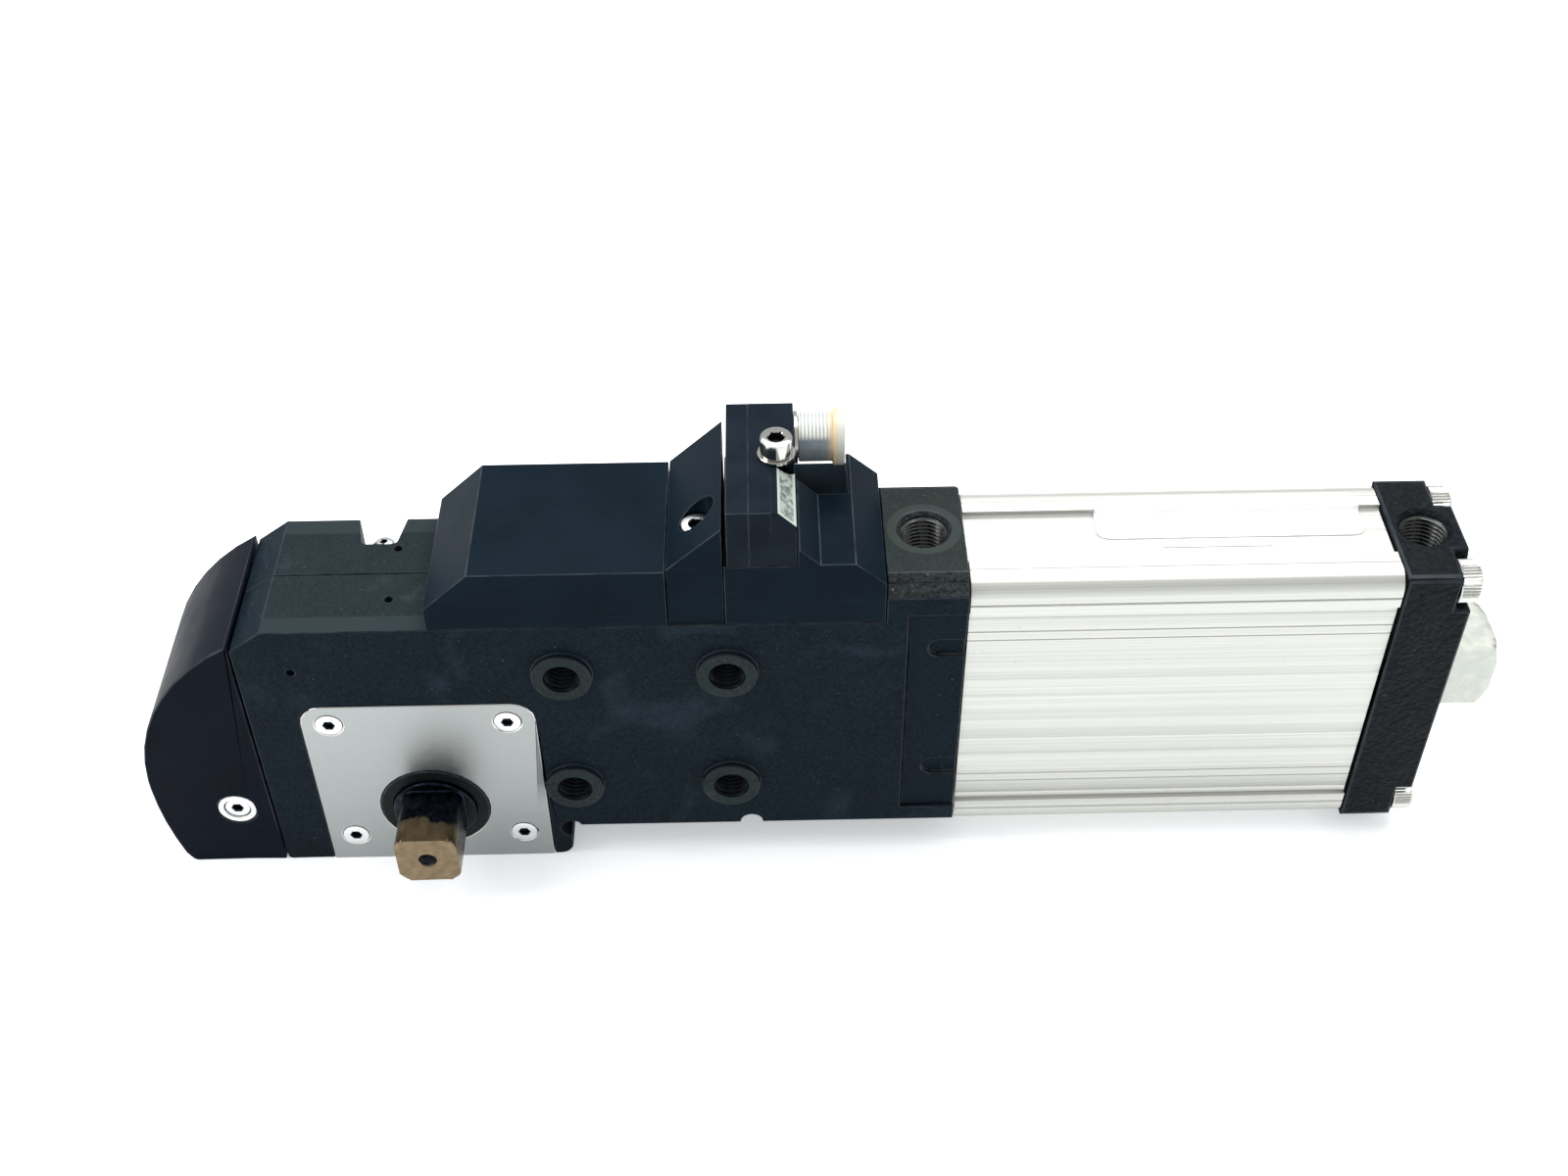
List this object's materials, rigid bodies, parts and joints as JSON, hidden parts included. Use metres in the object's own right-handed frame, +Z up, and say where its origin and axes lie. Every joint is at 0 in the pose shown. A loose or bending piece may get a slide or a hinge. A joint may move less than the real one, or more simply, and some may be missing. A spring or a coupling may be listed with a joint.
{
  "type": "pneumatic power clamp",
  "caption": "Pneumatic power clamp: flat oval-bore cylinder, split clamp head with a square rotary arm shaft, position sensor with round connector.",
  "frame": {"origin": "middle of the overall footprint, at the height of the flat underside of the head", "axes": "+Z up, +X from the clamp head towards the cylinder rear cover, +Y towards the side with the sensor connector"},
  "size_m": [0.3846, 0.086, 0.1387],
  "materials": {
    "cast_body": "matte black-navy coating, cast and machined, lightly scuffed",
    "anodised": "satin dark navy anodised",
    "rear_casting": "black coating over a rough pebbly casting",
    "clear_anodised": "satin clear-anodised extrusion with lengthwise lines",
    "stainless": "satin stainless steel",
    "zinc_plate": "bright zinc plate, slightly yellow",
    "dark_steel": "oiled and worn alloy steel",
    "hard_chrome": "polished hard chrome",
    "bearing_bronze": "dark oiled bearing metal",
    "seal_rubber": "matte black",
    "sensor_plastic": "dark slate moulded housing",
    "milky_plastic": "translucent milky cap",
    "window_plastic": "translucent grey-green window",
    "circuit_board": "green board",
    "white_label": "blank white film label"
  },
  "bodies": {
    "clamp": {"body_front_half": "cast_body", "body_rear_half": "cast_body", "side_plate_front": "stainless", "side_plate_rear": "stainless", "plate_screw_front_1": "stainless", "plate_screw_front_2": "stainless", "plate_screw_front_3": "stainless", "plate_screw_front_4": "stainless", "plate_screw_rear_1": "stainless", "plate_screw_rear_2": "stainless", "plate_screw_rear_3": "stainless", "plate_screw_rear_4": "stainless", "nose_cover": "anodised", "nose_screw_front": "stainless", "nose_screw_rear": "stainless", "nose_washer_front": "stainless", "nose_washer_rear": "stainless", "head_dome_screw": "stainless", "shaft_bushing_front": "bearing_bronze", "shaft_bushing_rear": "bearing_bronze", "cylinder_front_cover": "cast_body", "rod_bushing": "bearing_bronze", "rod_seal": "seal_rubber", "front_gasket": "seal_rubber", "cylinder_tube": "clear_anodised", "rear_gasket": "seal_rubber", "cylinder_rear_cover": "rear_casting", "tie_bolt_1": "zinc_plate", "tie_bolt_2": "zinc_plate", "tie_bolt_3": "zinc_plate", "tie_bolt_4": "zinc_plate", "rear_plug": "zinc_plate", "data_label": "white_label", "upper_housing_left": "anodised", "wedge_block": "anodised", "wedge_screw": "stainless", "upper_housing_right": "anodised", "sensor_end_plate": "sensor_plastic", "sensor_body": "sensor_plastic", "led_window": "window_plastic", "sensor_screw": "stainless", "sensor_washer": "stainless", "m12_connector": "zinc_plate", "sensor_board": "circuit_board"},
    "rod": {"rod_clevis": "dark_steel", "crosshead_pin": "dark_steel", "piston_rod": "hard_chrome", "piston": "clear_anodised", "piston_seal_front": "seal_rubber", "piston_seal_rear": "seal_rubber", "piston_nut": "zinc_plate"},
    "arm": {"arm_shaft": "dark_steel", "drive_lever": "dark_steel", "lever_key": "dark_steel"},
    "roller_front": {"guide_roller_front": "dark_steel"},
    "roller_rear": {"guide_roller_rear": "dark_steel"},
    "cap": {"connector_cap": "milky_plastic"}
  },
  "joints": [
    {"name": "rod_slide", "type": "slide", "parent": "clamp", "child": "rod", "axis": [1, 0, 0], "range_m": [0, 0.05199]},
    {"name": "arm_hinge", "type": "hinge", "parent": "clamp", "child": "arm", "pos_m": [-0.1116, 0, 0.0225], "axis": [0, 1, 0], "range_deg": [0, 90]},
    {"name": "roller_front_spin", "type": "hinge", "parent": "rod", "child": "roller_front", "pos_m": [-0.1216, 0, 0.0556], "axis": [0, 1, 0], "range_deg": [0, 298]},
    {"name": "roller_rear_spin", "type": "hinge", "parent": "rod", "child": "roller_rear", "pos_m": [-0.1216, 0, 0.0556], "axis": [0, 1, 0], "range_deg": [0, 298]},
    {"name": "cap_pull", "type": "slide", "parent": "clamp", "child": "cap", "axis": [1, 0, 0], "range_m": [0, 0.012]}
  ],
  "couplings": [
    {"joint": "arm_hinge", "follows": "rod_slide", "rad_per_m": 30.212},
    {"joint": "roller_front_spin", "follows": "rod_slide", "rad_per_m": 100},
    {"joint": "roller_rear_spin", "follows": "rod_slide", "rad_per_m": 100}
  ]
}
